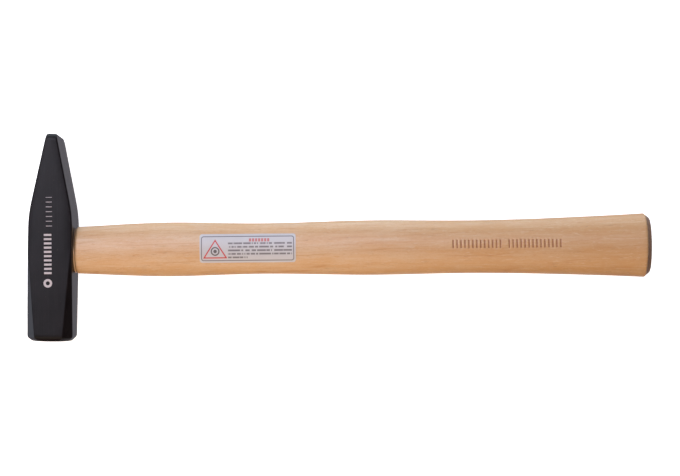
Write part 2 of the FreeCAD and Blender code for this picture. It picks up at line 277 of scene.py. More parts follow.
def head_half_width(y):
    """Half of the head's size along the handle, at a place along the head."""
    bend = math.atan2(EYE_HALF - PEEN_HALF, PEEN_END - FLANK_START)
    tangent = FLANK_RADIUS * math.tan(bend / 2)
    arc_start = FLANK_START - tangent
    arc_end = FLANK_START + tangent * math.cos(bend)
    if y <= 0:
        return EYE_HALF + (FACE_HALF - EYE_HALF) * -y / FACE_TAPER
    if y <= arc_start:
        return EYE_HALF
    if y <= arc_end:
        return EYE_HALF - FLANK_RADIUS + math.sqrt(FLANK_RADIUS ** 2 - (y - arc_start) ** 2)
    return EYE_HALF - (y - FLANK_START) * math.tan(bend)


def rounded_off(y, start, radius):
    """How far a surface draws in past start, along a quarter circle."""
    past = min(max(y - start, 0.0), radius)
    return radius - math.sqrt(radius ** 2 - past ** 2)


def quadrant(width, depth, leg, radius):
    """A quarter of the head's section, from the middle of its side to the middle of its cheek."""
    turn = math.radians(45)
    reach = radius * math.tan(turn / 2)
    leg = max(leg, 2 * reach * math.cos(turn))
    points = []
    side_end = depth - leg - reach
    cheek_end = width - leg - reach
    for share in (0.0, 0.12, 0.24, 0.36, 0.48, 0.6, 0.72, 0.84, 0.93, 0.98):
        points.append((width, side_end * share))
    for step in range(5):
        angle = turn * step / 4
        points.append((width - radius + radius * math.cos(angle), side_end + radius * math.sin(angle)))
    run_start = points[-1]
    run_end = (cheek_end + radius * math.sin(turn), depth - radius + radius * math.cos(turn))
    for share in (0.06, 0.35, 0.65, 0.94):
        points.append(tuple(a + (b - a) * share for a, b in zip(run_start, run_end)))
    for step in range(4, -1, -1):
        angle = turn * step / 4
        points.append((cheek_end + radius * math.sin(angle), depth - radius + radius * math.cos(angle)))
    for share in (0.98, 0.93, 0.84, 0.72, 0.6, 0.48, 0.36, 0.24, 0.12):
        points.append((cheek_end * share, depth))
    return points


def bevel_inset(from_end):
    """How far the ground bevel has drawn the outline in, at a distance from the striking end."""
    for (low, inset_low), (high, inset_high) in zip(BEVEL_INSET, BEVEL_INSET[1:]):
        if from_end < high:
            return inset_low + (inset_high - inset_low) * (from_end - low) / (high - low)
    return 0.0


def head_ring(y, shrink=1.0):
    """One closed section of the head; shrink below 1 gives the rings across the striking face."""
    from_end = y - FACE_END - FACE_CROWN
    inset = bevel_inset(max(from_end, 0.0))
    width = head_half_width(y) - rounded_off(y, PEEN_END - EDGE_ROUND, EDGE_ROUND) - inset
    depth = MID - rounded_off(y, PEEN_END - PEEN_CORNER, PEEN_CORNER) - inset
    leg = max(CHAMFER_RUNOUT - y, 0.0) * CHAMFER_PER_MM - LEG_SHARE * inset
    first = quadrant(width, depth, leg, EDGE_ROUND)
    points = list(first)
    points += [(0.0, depth)]
    points += [(-x, z) for x, z in reversed(first[1:])]
    points += [(-width, 0.0)]
    points += [(-x, -z) for x, z in first[1:]]
    points += [(0.0, -depth)]
    points += [(x, -z) for x, z in reversed(first[1:])]
    disc = FACE_DISC + from_end * DISC_SPREAD
    flat_half = width - max(leg, 0.0)
    roll = ROLL * smooth_step(*ROLL_GROWTH, y)
    ring = []
    for x, z in points:
        fall = CHEEK_CROWN * (x / EYE_HALF) ** 2
        near_edge = max(1 - max(flat_half - abs(x), 0.0) / ROLL_REACH, 0.0)
        fall += roll * near_edge ** 2
        z -= math.copysign(fall * smooth_step(0.0, 6.0, abs(z)), z)
        out = math.hypot(x, z)
        limit = soft_min(out, disc, 0.9) / out
        x, z = x * limit * shrink, z * limit * shrink
        if shrink == 1.0:
            dent = 0.045 * wander(x, y, z, 15.0, 3.1) + 0.018 * wander(x, y, z, 5.0, 7.7)
            dent *= smooth_step(0.0, 3.0, from_end)
            x, z = x * (1 + dent / out), z * (1 + dent / out)
        z = max(min(z, MID), -MID)
        along = y - FACE_CROWN * (1 - shrink ** 2) if shrink < 1.0 else y
        # A point that the slant moves back takes the width of its new place, so the flanks stay flat.
        slant = PEEN_SLANT * (MID - z) / DEPTH * smooth_step(SLANT_START, PEEN_END, y)
        x *= head_half_width(y - slant) / head_half_width(y)
        along -= slant
        ring.append(from_head(x, along, z))
    return ring


def eye_ring(x, grow):
    """The oval eye's section at a place across the head."""
    share = EYE_WAIST + (1 - EYE_WAIST) * (x / EYE_HALF) ** 2
    count = 96
    ring = []
    for i in range(count):
        angle = 2 * math.pi * i / count
        across = (EYE_LONG * share + grow) * math.cos(angle)
        up = (EYE_SHORT * share + grow) * math.sin(angle)
        ring.append(from_head(x, across, up))
    return ring


def make_head():
    """The forged head, in rings from the striking face to the peen, with its eye cut out."""
    face_rim = FACE_END + FACE_CROWN
    across_face = (0.04, 0.16, 0.3, 0.44, 0.58, 0.7, 0.8, 0.88, 0.94, 0.98)
    along_bevel = (0.0, 0.12, 0.3, 0.5, 0.75, 1.0, 1.2, 1.4, 1.6, 1.8, 2.0, 2.2, 2.5, 2.8, 3.1, 3.4, 3.8, 4.2)
    rings = [head_ring(face_rim, shrink) for shrink in across_face]
    rings += [head_ring(face_rim + step) for step in along_bevel]
    places = list(np.linspace(-41.0, 4.0, 34)) + list(np.linspace(5.2, 24.0, 20))
    places += list(np.linspace(25.2, PEEN_END - PEEN_CORNER - 0.2, 26))
    for step in range(15):
        places.append(PEEN_END - PEEN_CORNER * (1 - math.sin(math.pi / 2 * step / 14)))
    rings += [head_ring(y) for y in places]
    vertices, faces = ring_skin(rings)
    head = make_mesh("forged_head", vertices, faces)
    cut_eye(head)
    head.data.set_sharp_from_angle(angle=math.radians(35))
    weigh_normals(head)
    return head


def cut_eye(head):
    """Cuts the oval eye through the head, a little wider at its two mouths."""
    cuts = [-EYE_HALF - 1.5, -EYE_HALF - 0.1, -EYE_HALF + EYE_LIP]
    cuts += list(np.linspace(-EYE_HALF + 1.2, EYE_HALF - 1.2, 11))
    cuts += [EYE_HALF - EYE_LIP, EYE_HALF + 0.1, EYE_HALF + 1.5]
    drum = [eye_ring(x, EYE_LIP if abs(x) > EYE_HALF else 0.0) for x in cuts]
    vertices, faces = ring_skin(drum)
    cutter = make_mesh("eye_cutter", vertices, faces)
    modifier = head.modifiers.new("Eye", "BOOLEAN")
    modifier.operation = "DIFFERENCE"
    modifier.solver = "EXACT"
    modifier.object = cutter
    apply_modifiers(head)
    bpy.data.objects.remove(cutter)


# Handle -------------------------------------------------------------------------------------------

def handle_angles():
    """Angles round the handle, closer together on the upper side where the ticks are burnt in."""
    fine = list(np.linspace(math.radians(72), math.radians(108), 37))
    rest = list(np.linspace(math.radians(108), math.radians(72 + 360), 92))
    return fine + rest[1:-1]


def handle_places():
    """Places along the grip, closer together at the neck, at the ticks and at the butt."""
    places = list(np.linspace(10.9, 13.4, 22)) + list(np.linspace(14.0, 202.0, 126))
    places += list(np.arange(203.0, 262.0, 0.2)) + list(np.linspace(263.0, 300.5, 28))
    return places


def burn_at(x, y):
    """How deep the burnt ticks are at a place, from 0 to 1."""
    up = abs(y - BURN_CENTRE)
    if up > BURN_HALF + 0.3:
        return 0.0
    ends = 1 - smooth_step(BURN_HALF - 0.15, BURN_HALF + 0.3, up)
    for start, count in BURN_ROWS:
        place = (x - start) / BURN_PITCH
        if -0.5 < place < count - 0.5:
            off = abs(place - round(place)) * BURN_PITCH
            return ends * (1 - smooth_step(BURN_WIDTH / 2 - 0.15, BURN_WIDTH / 2 + 0.15, off))
    return 0.0


def neck_inset(x, angle):
    """How far the neck lies inside the grip near the head: a rolled shoulder and a lifted lip."""
    if x > 13.2:
        return 0.0
    shoulder = 0.85 * (1 - smooth_step(11.5, 13.1, x))
    ragged = 0.5 + 0.5 * wander(math.cos(angle) * 9, math.sin(angle) * 9, 0.0, 2.2, 5.3)
    lower = smooth_step(0.1, -0.5, math.cos(angle)) if math.cos(angle) < 0.1 else 0.0
    lift = (0.12 + 0.62 * lower) * (0.45 + 0.75 * ragged)
    crest = math.exp(-((x - 11.4) / 0.26) ** 2)
    return shoulder - lift * crest


def handle_ring(x, angles):
    """One section of the neck or the grip, with a slight unevenness and the burnt ticks."""
    height, thick = float(grip_height(x)) / 2, float(grip_thick(x)) / 2
    ring = []
    for angle in angles:
        across, up = math.cos(angle), math.sin(angle)
        inset = neck_inset(x, angle)
        inset -= 0.05 * wander(x * 0.35, across * 12, up * 12, 8.0, 2.6) * smooth_step(13.0, 20.0, x)
        y, z = (height - inset) * across, (thick - inset) * up
        if up > 0.5:
            z -= BURN_DEPTH * burn_at(x, y)
        ring.append((x, y, max(z + MID, 0.0)))
    return ring


def butt_rings(angles):
    """The chamfered butt, with its two edges a little softened."""
    profile = ((301.6, 0.0), (302.0, 0.03), (302.3, 0.09), (302.6, 0.24), (303.3, 0.44), (304.0, 0.63),
               (304.5, 0.79), (304.75, 0.89), (304.9, 0.98), (304.97, 1.08), (BUTT_END, 1.22))
    rings = []
    for x, share in profile:
        height = float(grip_height(min(x, BUTT_START))) / 2 - BUTT_INSET[0] * share
        thick = float(grip_thick(min(x, BUTT_START))) / 2 - BUTT_INSET[1] * share
        ring = []
        for angle in angles:
            ragged = 0.06 * share * wander(x, math.cos(angle) * 14, math.sin(angle) * 14, 2.5, 9.1)
            ring.append((x, (height + ragged) * math.cos(angle), (thick + ragged) * math.sin(angle) + MID))
        rings.append(ring)
    flat_edge = rings[-1]
    for share in (0.85, 0.6, 0.35, 0.12):
        rings.append([(x, y * share, (z - MID) * share + MID) for x, y, z in flat_edge])
    return rings


def tenon_ring(x, angles, share):
    """One section of the tenon, just inside the eye; share below 1 gives the rings across its end."""
    size = (EYE_WAIST + (1 - EYE_WAIST) * (x / EYE_HALF) ** 2) * share
    return [from_head(x, (EYE_LONG * size - 0.02) * math.cos(a), (EYE_SHORT * size - 0.02) * math.sin(a))
            for a in angles]


def tenon_rings(angles):
    """The tenon fills the eye and ends just inside the head's outer side."""
    rings = []
    for share in (0.15, 0.5, 0.8, 0.96):
        rings.append(tenon_ring(-EYE_HALF + TENON_SUNK, angles, share))
    for x in [-EYE_HALF + TENON_SUNK + 0.05] + list(np.linspace(-9.6, 9.6, 10)) + [10.4]:
        rings.append(tenon_ring(x, angles, 1.0))
    return rings


def make_handle():
    """Tenon, neck, grip and butt in one skin."""
    angles = handle_angles()
    rings = tenon_rings(angles)
    rings += [handle_ring(x, angles) for x in handle_places()]
    rings += butt_rings(angles)
    vertices, faces = ring_skin(rings)
    return make_mesh("hickory_handle", vertices, faces, sharp=50)


# Label --------------------------------------------------------------------------------------------

def grip_surface(x, y):
    """Height of the grip's upper side."""
    height, thick = float(grip_height(x)) / 2, float(grip_thick(x)) / 2
    return MID + thick * math.sqrt(max(1 - (y / height) ** 2, 0.0))


def make_label():
    """A thin film that follows the grip, with rounded corners and edges that lift a little."""
    corner = LABEL_CORNER
    long = 2 * LABEL_HALF_LONG
    end_places = (0.0, 0.12, 0.3, 0.6, 0.95, corner)
    places = list(end_places)
    places += list(np.linspace(corner, long - corner, 60))[1:-1]
    places += [long - place for place in reversed(end_places)]
    columns = []
    for place in places:
        from_end = min(place, long - place)
        cut = corner - math.sqrt(corner ** 2 - max(corner - from_end, 0.0) ** 2) if from_end < corner else 0.0
        columns.append((LABEL_CENTRE - LABEL_HALF_LONG + place, LABEL_HALF_HIGH - cut))
    across = np.linspace(-1, 1, 33)
    top, bottom = [], []
    for x, reach in columns:
        for share in across:
            y = LABEL_UP + reach * share
            edge = min(reach * (1 - abs(share)), LABEL_HALF_LONG - abs(x - LABEL_CENTRE), LIFT_REACH)
            lift = LABEL_LIFT * (1 - edge / LIFT_REACH) ** 2 * (0.6 + 0.8 * wander(x, y, 0, 6.0, 4.4))
            base = grip_surface(x, y)
            top.append((x, y, base + LABEL_FILM + lift))
            bottom.append((x, y, base - LABEL_SUNK))
    rows = len(across)
    vertices = top + bottom
    shift = len(top)
    faces = []
    for c in range(len(columns) - 1):
        for r in range(rows - 1):
            a, b = c * rows + r, c * rows + r + 1
            d, e = a + rows, b + rows
            faces.append((a, d, e, b))
            faces.append((a + shift, b + shift, e + shift, d + shift))
    rim = list(range(rows))
    rim += [c * rows + rows - 1 for c in range(1, len(columns))]
    rim += [(len(columns) - 1) * rows + r for r in range(rows - 2, -1, -1)]
    rim += [c * rows for c in range(len(columns) - 2, 0, -1)]
    for a, b in zip(rim, rim[1:] + rim[:1]):
        faces.append((a, b, b + shift, a + shift))
    return make_mesh("grip_label", vertices, faces, sharp=40)


# Materials ----------------------------------------------------------------------------------------

class Shader:
    """Short calls that build one material's nodes."""

    def __init__(self, name):
        self.material = bpy.data.materials.new(name)
        self.material.use_nodes = True
        self.tree = self.material.node_tree
        self.tree.nodes.clear()
        output = self.add("ShaderNodeOutputMaterial")
        self.surface = self.add("ShaderNodeBsdfPrincipled")
        self.tree.links.new(self.surface.outputs[0], output.inputs[0])
        coordinates = self.add("ShaderNodeTexCoord")
        self.place = self.vector("SCALE", coordinates.outputs["Object"], scale=1 / MM)
        self.x, self.y, self.z = self.split(self.place)

    def add(self, kind, **settings):
        node = self.tree.nodes.new(kind)
        for key, value in settings.items():
            setattr(node, key, value)
        return node

    def feed(self, socket, value):
        if isinstance(value, bpy.types.NodeSocket):
            self.tree.links.new(value, socket)
        else:
            socket.default_value = value

    def split(self, vector):
        node = self.add("ShaderNodeSeparateXYZ")
        self.feed(node.inputs[0], vector)
        return node.outputs

    def vector(self, operation, first, second=None, scale=None):
        node = self.add("ShaderNodeVectorMath", operation=operation)
        self.feed(node.inputs[0], first)
        if second is not None:
            self.feed(node.inputs[1], second)
        if scale is not None:
            self.feed(node.inputs["Scale"], scale)
        return node.outputs[0]

    def math(self, operation, first, second=None, third=None):
        node = self.add("ShaderNodeMath", operation=operation)
        for socket, value in zip(node.inputs, (first, second, third)):
            if value is not None:
                self.feed(socket, value)
        return node.outputs[0]

    def step(self, value, low, high):
        """0 below low and 1 above high, smooth between; low may be the larger."""
        node = self.add("ShaderNodeMapRange", interpolation_type="SMOOTHSTEP")
        bounds = (low, high, 0.0, 1.0) if low < high else (high, low, 1.0, 0.0)
        self.feed(node.inputs[0], value)
        for socket, number in zip(list(node.inputs)[1:5], bounds):
            socket.default_value = number
        return node.outputs[0]

    def length(self, first, second):
        """Length of a flat vector with these two parts."""
        squares = self.math("ADD", self.math("MULTIPLY", first, first), self.math("MULTIPLY", second, second))
        return self.math("SQRT", squares)

    def noise(self, stretch, detail=2.0, roughness=0.5):
        """Noise whose lumps are stretch millimetres along each axis."""
        scaled = self.vector("MULTIPLY", self.place, tuple(1.0 / size for size in stretch))
        node = self.add("ShaderNodeTexNoise")
        self.feed(node.inputs["Vector"], scaled)
        node.inputs["Scale"].default_value = 1.0
        node.inputs["Detail"].default_value = detail
        node.inputs["Roughness"].default_value = roughness
        return node.outputs["Fac"]

    def mix(self, share, first, second):
        """The first colour with a share of the second."""
        node = self.add("ShaderNodeMix", data_type="RGBA")
        self.feed(node.inputs["Factor"], share)
        for name, value in (("A", first), ("B", second)):
            socket = next(s for s in node.inputs if s.name == name and s.type == "RGBA")
            if isinstance(value, tuple) and len(value) == 3:
                value = value + (1.0,)
            self.feed(socket, value)
        return next(s for s in node.outputs if s.type == "RGBA")

    def bump(self, height, distance, after=None):
        """Bump whose height of 1 stands for distance millimetres."""
        node = self.add("ShaderNodeBump")
        self.feed(node.inputs["Height"], height)
        node.inputs["Distance"].default_value = distance * MM
        node.inputs["Strength"].default_value = 1.0
        if after is not None:
            self.feed(node.inputs["Normal"], after)
        return node.outputs[0]

    def box(self, x_low, x_high, y_low, y_high, soft=0.06):
        """1 inside an upright rectangle seen from above, with soft borders."""
        inside = self.step(self.x, x_low - soft, x_low + soft)
        inside = self.math("MULTIPLY", inside, self.step(self.x, x_high + soft, x_high - soft))
        inside = self.math("MULTIPLY", inside, self.step(self.y, y_low - soft, y_low + soft))
        return self.math("MULTIPLY", inside, self.step(self.y, y_high + soft, y_high - soft))

    def round_box(self, x_low, x_high, y_low, y_high, corner):
        """Distance outside an upright rectangle with rounded corners; negative inside."""
        over = []
        for value, low, high in ((self.x, x_low, x_high), (self.y, y_low, y_high)):
            from_middle = self.math("ABSOLUTE", self.math("SUBTRACT", value, (low + high) / 2))
            over.append(self.math("SUBTRACT", from_middle, (high - low) / 2 - corner))
        outside = [self.math("MAXIMUM", value, 0.0) for value in over]
        reach = self.length(*outside)
        inside = self.math("MINIMUM", self.math("MAXIMUM", over[0], over[1]), 0.0)
        return self.math("SUBTRACT", self.math("ADD", reach, inside), corner)

    def stripes(self, value, start, pitch, width, soft=0.06):
        """1 on stripes of a width that repeat at a pitch, the first one centred on start."""
        turns = self.math("DIVIDE", self.math("SUBTRACT", value, start - pitch / 2), pitch)
        off = self.math("ABSOLUTE", self.math("SUBTRACT", self.math("FRACT", turns), 0.5))
        return self.step(off, (width / 2 + soft) / pitch, (width / 2 - soft) / pitch)

    def set(self, **values):
        """Feeds the surface's inputs, with underscores for spaces."""
        for key, value in values.items():
            socket = self.surface.inputs[key.replace("_", " ")]
            if isinstance(value, tuple) and len(value) == 3 and socket.type == "RGBA":
                value = value + (1.0,)
            self.feed(socket, value)


# Growth rings of the wood: the pith's y and z, the rings' spacing, and their drift along the handle.
PITH = (70.0, -46.0)
RING_SPACING = 3.1
RING_DRIFT = 0.024


def hickory(name, pale, tan, end_to=-10.2):
    """Hickory with faint clouds, thin ring lines, short flecks, pores and dark end grain, and painted shade
    that darkens it toward the butt.

    Gives the shader, its colour and bump, and the strengths of the end grain and of the fibre.
    """
    s = Shader(name)
    dark = tuple(c * k for c, k in zip(tan, (0.8, 0.64, 0.5)))
    milky = tuple(min(c * k, 1.0) for c, k in zip(pale, (1.0, 1.1, 1.22)))
    cloud = s.noise((40, 4.5, 4.5), detail=4, roughness=0.6)
    patch = s.noise((22, 6, 6), detail=3)
    streak = s.noise((26, 0.8, 0.8), detail=3, roughness=0.55)
    fibre = s.noise((9, 0.3, 0.3), detail=3, roughness=0.6)
    colour = s.mix(s.step(cloud, 0.32, 0.66), pale, tan)
    colour = s.mix(s.math("MULTIPLY", s.step(patch, 0.5, 0.66), 0.4), colour, milky)
    # Painted shade: from x 110 mm toward the butt the wood is mixed toward a darker, warmer tan, standing in
    # for the light falling off there.
    butt_falloff_shade = s.math("MULTIPLY", s.step(s.x, 110, 300), 0.55)
    colour = s.mix(butt_falloff_shade, colour, tuple(c * k for c, k in zip(tan, (0.8, 0.7, 0.52))))
    colour = s.mix(s.math("MULTIPLY", s.step(streak, 0.5, 0.68), 0.2), colour, dark)
    colour = s.mix(s.math("MULTIPLY", s.step(streak, 0.46, 0.3), 0.35), colour, milky)
    colour = s.mix(s.math("MULTIPLY", s.step(fibre, 0.45, 0.7), 0.16), colour, dark)

    sway = s.math("MULTIPLY", s.math("SUBTRACT", s.noise((60, 12, 12), detail=2), 0.5), 4.0)
    aside = s.math("SUBTRACT", s.y, PITH[0])
    below = s.math("SUBTRACT", s.z, PITH[1])
    radius = s.math("ADD", s.length(aside, below), sway)
    radius = s.math("ADD", radius, s.math("MULTIPLY", s.x, RING_DRIFT))
    along = s.math("FRACT", s.math("DIVIDE", radius, RING_SPACING))
    line = s.math("MULTIPLY", s.step(along, 0.84, 0.95), s.step(along, 1.0, 0.965))
    fading = s.step(s.noise((24, 2.4, 2.4), detail=2), 0.44, 0.6)
    colour = s.mix(s.math("MULTIPLY", s.math("MULTIPLY", line, fading), 0.5), colour, dark)
    early = s.step(along, 0.45, 0.0)

    fleck = s.step(s.noise((2.3, 0.4, 0.4), detail=2), 0.58, 0.68)
    fleck = s.math("MULTIPLY", fleck, s.math("ADD", 0.55, s.math("MULTIPLY", early, 0.45)))
    rusty = tuple(c * k for c, k in zip(tan, (0.84, 0.56, 0.4)))
    colour = s.mix(s.math("MULTIPLY", fleck, 0.44), colour, rusty)
    pale_fleck = s.step(s.noise((3.4, 0.42, 0.42), detail=1.5), 0.6, 0.7)
    colour = s.mix(s.math("MULTIPLY", pale_fleck, 0.5), colour, milky)
    pore = s.math("MULTIPLY", s.step(s.noise((5.5, 0.24, 0.24), detail=1), 0.66, 0.72),
                  s.math("ADD", 0.2, s.math("MULTIPLY", early, 0.8)))
    colour = s.mix(s.math("MULTIPLY", pore, 0.6), colour, tuple(c * 0.55 for c in dark))
    speck = s.step(s.noise((1.1, 0.3, 0.3), detail=2), 0.56, 0.66)
    colour = s.mix(s.math("MULTIPLY", speck, 0.26), colour, dark)

    ragged = s.math("MULTIPLY", s.math("SUBTRACT", s.noise((2, 1.6, 1.6), detail=2), 0.5), 0.6)
    place = s.math("ADD", s.x, ragged)
    end = s.math("MAXIMUM", s.step(place, BUTT_START, BUTT_START + 0.22), s.step(place, end_to, end_to - 0.1))
    end_pore = s.step(s.noise((30, 0.3, 0.3), detail=1), 0.56, 0.66)
    end_colour = s.mix(s.math("MULTIPLY", end_pore, 0.5), (0.34, 0.2, 0.13), (0.15, 0.08, 0.05))
    end_colour = s.mix(s.math("MULTIPLY", line, 0.6), end_colour, (0.19, 0.1, 0.06))
    colour = s.mix(end, colour, end_colour)
    bump = s.bump(fibre, 0.012)
    bump = s.bump(s.math("SUBTRACT", 1.0, pore), 0.03, after=bump)
    return s, colour, bump, end, fibre


def handle_material():
    """Clear-lacquered hickory, with burnt ticks, painted shade in the crevice at the neck and a pale lip
    there.
    """
    s, colour, bump, end, fibre = hickory("lacquered_hickory", (0.7, 0.46, 0.27), (0.66, 0.39, 0.195))
    burn = None
    for start, count in BURN_ROWS:
        row = s.box(start - BURN_WIDTH, start + BURN_PITCH * (count - 1) + BURN_WIDTH,
                    BURN_CENTRE - BURN_HALF, BURN_CENTRE + BURN_HALF, 0.12)
        row = s.math("MULTIPLY", row, s.stripes(s.x, start, BURN_PITCH, BURN_WIDTH, 0.14))
        burn = row if burn is None else s.math("MAXIMUM", burn, row)
    burn = s.math("MULTIPLY", burn, s.step(s.z, MID, MID + 1.0))
    patchy = s.math("ADD", 0.5, s.math("MULTIPLY", s.noise((1.1, 0.9, 0.9), detail=2), 0.6))
    colour = s.mix(s.math("MULTIPLY", burn, patchy), colour, (0.27, 0.09, 0.025))
    # Painted shade: a deep brown band where the neck meets the head stands in for the shadow in that crevice;
    # it is left off the pale lip.
    neck_crevice_shade = s.math("MULTIPLY", s.step(s.x, 12.4, 11.9), s.step(s.x, 10.2, 10.9))
    lip = s.math("MULTIPLY", s.step(s.x, 11.9, 11.65), s.step(s.y, 3.0, -2.0))
    neck_crevice_shade = s.math("MULTIPLY", neck_crevice_shade, s.math("SUBTRACT", 1.0, s.math("MULTIPLY", lip, 0.95)))
    colour = s.mix(s.math("MULTIPLY", neck_crevice_shade, 0.78), colour, (0.12, 0.06, 0.03))
    colour = s.mix(s.math("MULTIPLY", lip, 0.6), colour, (0.82, 0.6, 0.4))
    rough = s.math("ADD", 0.36, s.math("MULTIPLY", fibre, 0.14))
    rough = s.math("ADD", rough, s.math("MULTIPLY", end, 0.15))
    s.set(Base_Color=colour, Roughness=rough, Normal=bump, IOR=1.45, Coat_Weight=0.35,
          Coat_Roughness=0.25, Coat_IOR=1.45)
    return s.material


def wedge_wood_material():
    """Darker bare wood."""
    s, colour, bump, _, fibre = hickory("sawn_wedge_wood", (0.3, 0.17, 0.085), (0.24, 0.125, 0.06),
                                        end_to=-10.0)
    s.set(Base_Color=colour, Roughness=s.math("ADD", 0.55, s.math("MULTIPLY", fibre, 0.2)), Normal=bump,
          IOR=1.45)
    return s.material


def head_material():
    """Satin black lacquer over ground forged steel, with plain light bars printed on the upper cheek."""
    s = Shader("black_lacquered_steel")
    grind = s.noise((0.34, 46, 0.34), detail=3, roughness=0.6)
    scale = s.noise((5.5, 8, 5.5), detail=4, roughness=0.55)
    spots = s.step(s.noise((0.9, 0.9, 0.9), detail=1.5), 0.7, 0.76)
    colour = s.mix(s.step(scale, 0.3, 0.72), (0.0064, 0.005, 0.0058), (0.0094, 0.0074, 0.0086))
    colour = s.mix(s.math("MULTIPLY", s.step(grind, 0.44, 0.7), 0.4), colour, (0.0155, 0.013, 0.015))
    colour = s.mix(s.math("MULTIPLY", spots, 0.3), colour, (0.045, 0.03, 0.022))

    up = s.step(s.z, DEPTH - 0.9, DEPTH - 0.6)
    ticks = s.math("MULTIPLY", s.box(*TICK_AREA), s.stripes(s.y, TICK_START, TICK_PITCH, TICK_WIDTH))
    bars = s.math("MULTIPLY", s.box(*BAR_AREA), s.stripes(s.y, BAR_START, BAR_PITCH, BAR_WIDTH))
    away = s.length(s.math("SUBTRACT", s.x, RING_CENTRE[0]), s.math("SUBTRACT", s.y, RING_CENTRE[1]))
    ring = s.math("MULTIPLY", s.step(away, RING_OUTER, RING_OUTER - 0.15),
                  s.step(away, RING_INNER, RING_INNER + 0.15))
    ink = s.math("MAXIMUM", s.math("MAXIMUM", s.math("MULTIPLY", ticks, 0.62), bars), ring)
    worn = s.math("ADD", 0.8, s.math("MULTIPLY", s.noise((0.5, 0.5, 0.5), detail=3), 0.25))
    ink = s.math("MULTIPLY", s.math("MULTIPLY", ink, up), worn)
    colour = s.mix(ink, colour, (0.6, 0.54, 0.56))

    rough = s.math("ADD", 0.25, s.math("MULTIPLY", grind, 0.14))
    rough = s.math("ADD", rough, s.math("MULTIPLY", scale, 0.07))
    rough = s.math("ADD", rough, s.math("MULTIPLY", ink, 0.15))
    bump = s.bump(grind, 0.012)
    bump = s.bump(scale, 0.05, after=bump)
    s.set(Base_Color=colour, Roughness=rough, Normal=bump, IOR=1.3)
    return s.material


def wedge_steel_material():
    s = Shader("bare_wedge_steel")
    scratch = s.noise((3.0, 0.25, 6.0), detail=3)
    stain = s.noise((2.2, 2.2, 2.2), detail=3)
    colour = s.mix(s.step(stain, 0.35, 0.7), (0.42, 0.41, 0.4), (0.2, 0.185, 0.17))
    s.set(Base_Color=colour, Roughness=s.math("ADD", 0.32, s.math("MULTIPLY", scratch, 0.3)),
          Normal=s.bump(scratch, 0.02), Metallic=1.0)
    return s.material


def label_material():
    """Printed film: a thin border, an outlined triangle, red blocks and rows of plain dashes."""
    s = Shader("printed_label_film")
    film = s.noise((4, 4, 4), detail=3)
    colour = s.mix(film, (0.565, 0.55, 0.57), (0.605, 0.59, 0.605))

    edge = s.round_box(*BORDER_AREA, BORDER_CORNER)
    border = s.math("MULTIPLY", s.step(edge, 0.04, -0.04), s.step(edge, -0.5, -0.42))
    colour = s.mix(s.math("MULTIPLY", border, 0.8), colour, (0.1, 0.085, 0.1))

    rows = s.math("MULTIPLY", s.box(*DASH_AREA, 0.1),
                  s.stripes(s.y, DASH_START, DASH_PITCH, DASH_HEIGHT, 0.1))
    rows_low = DASH_START - DASH_PITCH / 2
    row_number = s.math("FLOOR", s.math("DIVIDE", s.math("SUBTRACT", s.y, rows_low), DASH_PITCH))
    last_row_top = DASH_START + DASH_PITCH / 2
    past_last = s.math("MULTIPLY", s.step(s.y, last_row_top + 0.05, last_row_top - 0.05),
                       s.step(s.x, LAST_ROW_END - 0.1, LAST_ROW_END + 0.1))
    cell = s.add("ShaderNodeTexWhiteNoise", noise_dimensions="2D")
    cell_place = s.add("ShaderNodeCombineXYZ")
    s.feed(cell_place.inputs[0], s.math("FLOOR", s.math("DIVIDE", s.x, DASH_CELL)))
    s.feed(cell_place.inputs[1], row_number)
    s.feed(cell.inputs["Vector"], cell_place.outputs[0])
    dashes = s.math("MULTIPLY", rows, s.step(cell.outputs[0], 0.12, 0.34))
    dashes = s.math("MULTIPLY", dashes, s.math("SUBTRACT", 1.0, past_last))
    colour = s.mix(s.math("MULTIPLY", dashes, 0.72), colour, (0.085, 0.065, 0.075))
    heading = s.math("MULTIPLY", s.box(*HEADING_AREA, 0.1),
                     s.stripes(s.x, HEADING_START, HEADING_PITCH, HEADING_WIDTH, 0.12))
    colour = s.mix(s.math("MULTIPLY", heading, 0.75), colour, (0.55, 0.06, 0.055))

    # The triangle is where the distances inside its slanted sides and its base are all positive.
    apex_x, apex_y = TRIANGLE_APEX
    slope = (apex_y - TRIANGLE_BASE) / TRIANGLE_HALF_BASE
    side = math.hypot(slope, 1.0)
    aside = s.math("ABSOLUTE", s.math("SUBTRACT", s.x, apex_x))
    slanted = s.math("DIVIDE", s.math("SUBTRACT", s.math("SUBTRACT", apex_y, s.y),
                                      s.math("MULTIPLY", aside, slope)), side)
    level = s.math("SUBTRACT", s.y, TRIANGLE_BASE)
    depth = s.math("SMOOTH_MIN", slanted, level, 0.4)
    outline = s.math("MULTIPLY", s.step(depth, -0.05, 0.05), s.step(depth, 0.68, 0.58))
    colour = s.mix(s.math("MULTIPLY", outline, 0.92), colour, (0.56, 0.035, 0.035))
    spot = s.length(aside, s.math("SUBTRACT", s.y, EMBLEM_Y))
    ring = s.math("MULTIPLY", s.step(spot, EMBLEM_OUTER, EMBLEM_OUTER - 0.1),
                  s.step(spot, EMBLEM_INNER, EMBLEM_INNER + 0.1))
    mark = s.math("MAXIMUM", ring, s.step(spot, EMBLEM_DOT, EMBLEM_DOT - 0.13))
    colour = s.mix(s.math("MULTIPLY", mark, 0.85), colour, (0.06, 0.045, 0.045))

    s.set(Base_Color=colour, Roughness=s.math("ADD", 0.34, s.math("MULTIPLY", film, 0.12)),
          Normal=s.bump(film, 0.02), IOR=1.45)
    return s.material


